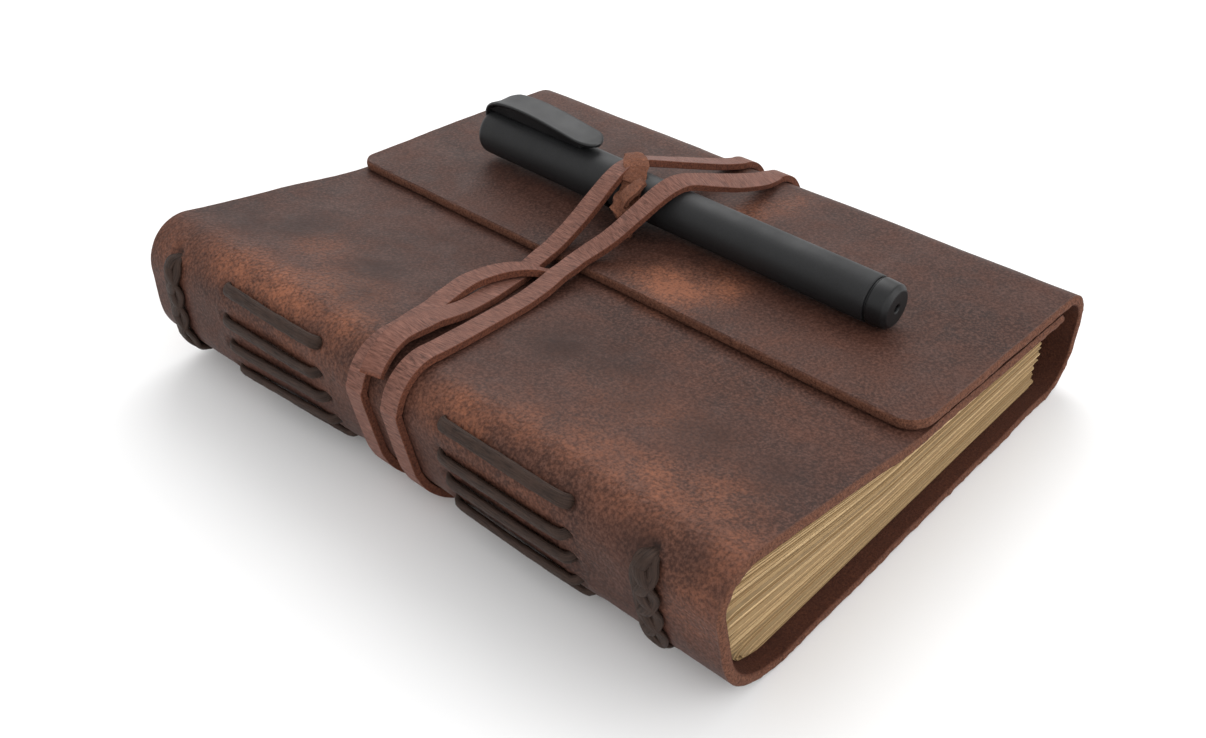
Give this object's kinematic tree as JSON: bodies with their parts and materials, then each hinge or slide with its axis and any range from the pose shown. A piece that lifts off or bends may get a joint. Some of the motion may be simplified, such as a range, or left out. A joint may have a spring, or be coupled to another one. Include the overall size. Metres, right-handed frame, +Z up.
{
  "type": "leather wrap sketchbook with pen",
  "caption": "Long-stitched leather sketchbook with a fore-edge flap, wound shut with a strap that holds a capped pen.",
  "frame": {"origin": "on the table, under the middle of the closed book", "axes": "+X from the spine to the fore-edge, +Y along the spine, +Z up through the front cover"},
  "size_m": [0.1617, 0.19, 0.0538],
  "materials": {
    "cover_leather": "waxed pull-up leather, satin, scuffed lighter where it bends",
    "strap_leather": "waxed leather with rough cut edges",
    "paper": "uncoated cream paper, matte",
    "lace": "waxed dark lace, matte",
    "pen_body": "matte black",
    "pen_trim": "black, a little glossier",
    "pen_metal": "bright steel",
    "refill_plastic": "milky"
  },
  "bodies": {
    "book": {"spine_leather": "cover_leather", "back_cover": "cover_leather", "fore_edge_wrap": "cover_leather", "section_1": "paper", "section_2": "paper", "section_3": "paper", "section_4": "paper", "section_5": "paper", "inner_threads": "lace", "long_stitches_near": "lace", "long_stitches_far": "lace", "chain_stitch_near": "lace", "chain_stitch_far": "lace", "strap_wrap_first": "strap_leather", "strap_wrap_second": "strap_leather", "strap_tail_end": "strap_leather"},
    "flap": {"flap": "cover_leather", "strap_over_pen": "strap_leather", "strap_root": "strap_leather", "strap_knot": "strap_leather"},
    "cover": {"front_cover": "cover_leather", "strap_turns_on_cover": "strap_leather", "strap_tail": "strap_leather"},
    "pen": {"pen_barrel": "pen_body", "pen_end_plug": "pen_trim", "pen_seat_ring": "pen_body", "pen_grip": "pen_trim", "pen_tip": "pen_metal", "pen_refill": "refill_plastic"},
    "cap": {"pen_cap": "pen_body", "pen_clip": "pen_trim"}
  },
  "joints": [
    {"name": "flap_open", "type": "hinge", "parent": "book", "child": "flap", "pos_m": [0.071, 0, 0.0355], "axis": [0, 1, 0], "range_deg": [0, 178]},
    {"name": "cover_open", "type": "hinge", "parent": "book", "child": "cover", "pos_m": [-0.07, 0, 0.046], "axis": [0, -1, 0], "range_deg": [0, 178], "deforming": ["front_cover"]},
    {"name": "pen_slide", "type": "slide", "parent": "flap", "child": "pen", "axis": [0, 0.9999, 0.0157], "range_m": [0, 0.08]},
    {"name": "cap_pull", "type": "slide", "parent": "pen", "child": "cap", "axis": [0, 0.9999, 0.0157], "range_m": [0, 0.045]}
  ],
  "couplings": [
    {"joint": "cover_open", "follows": "flap_open", "ratio": 1}
  ]
}
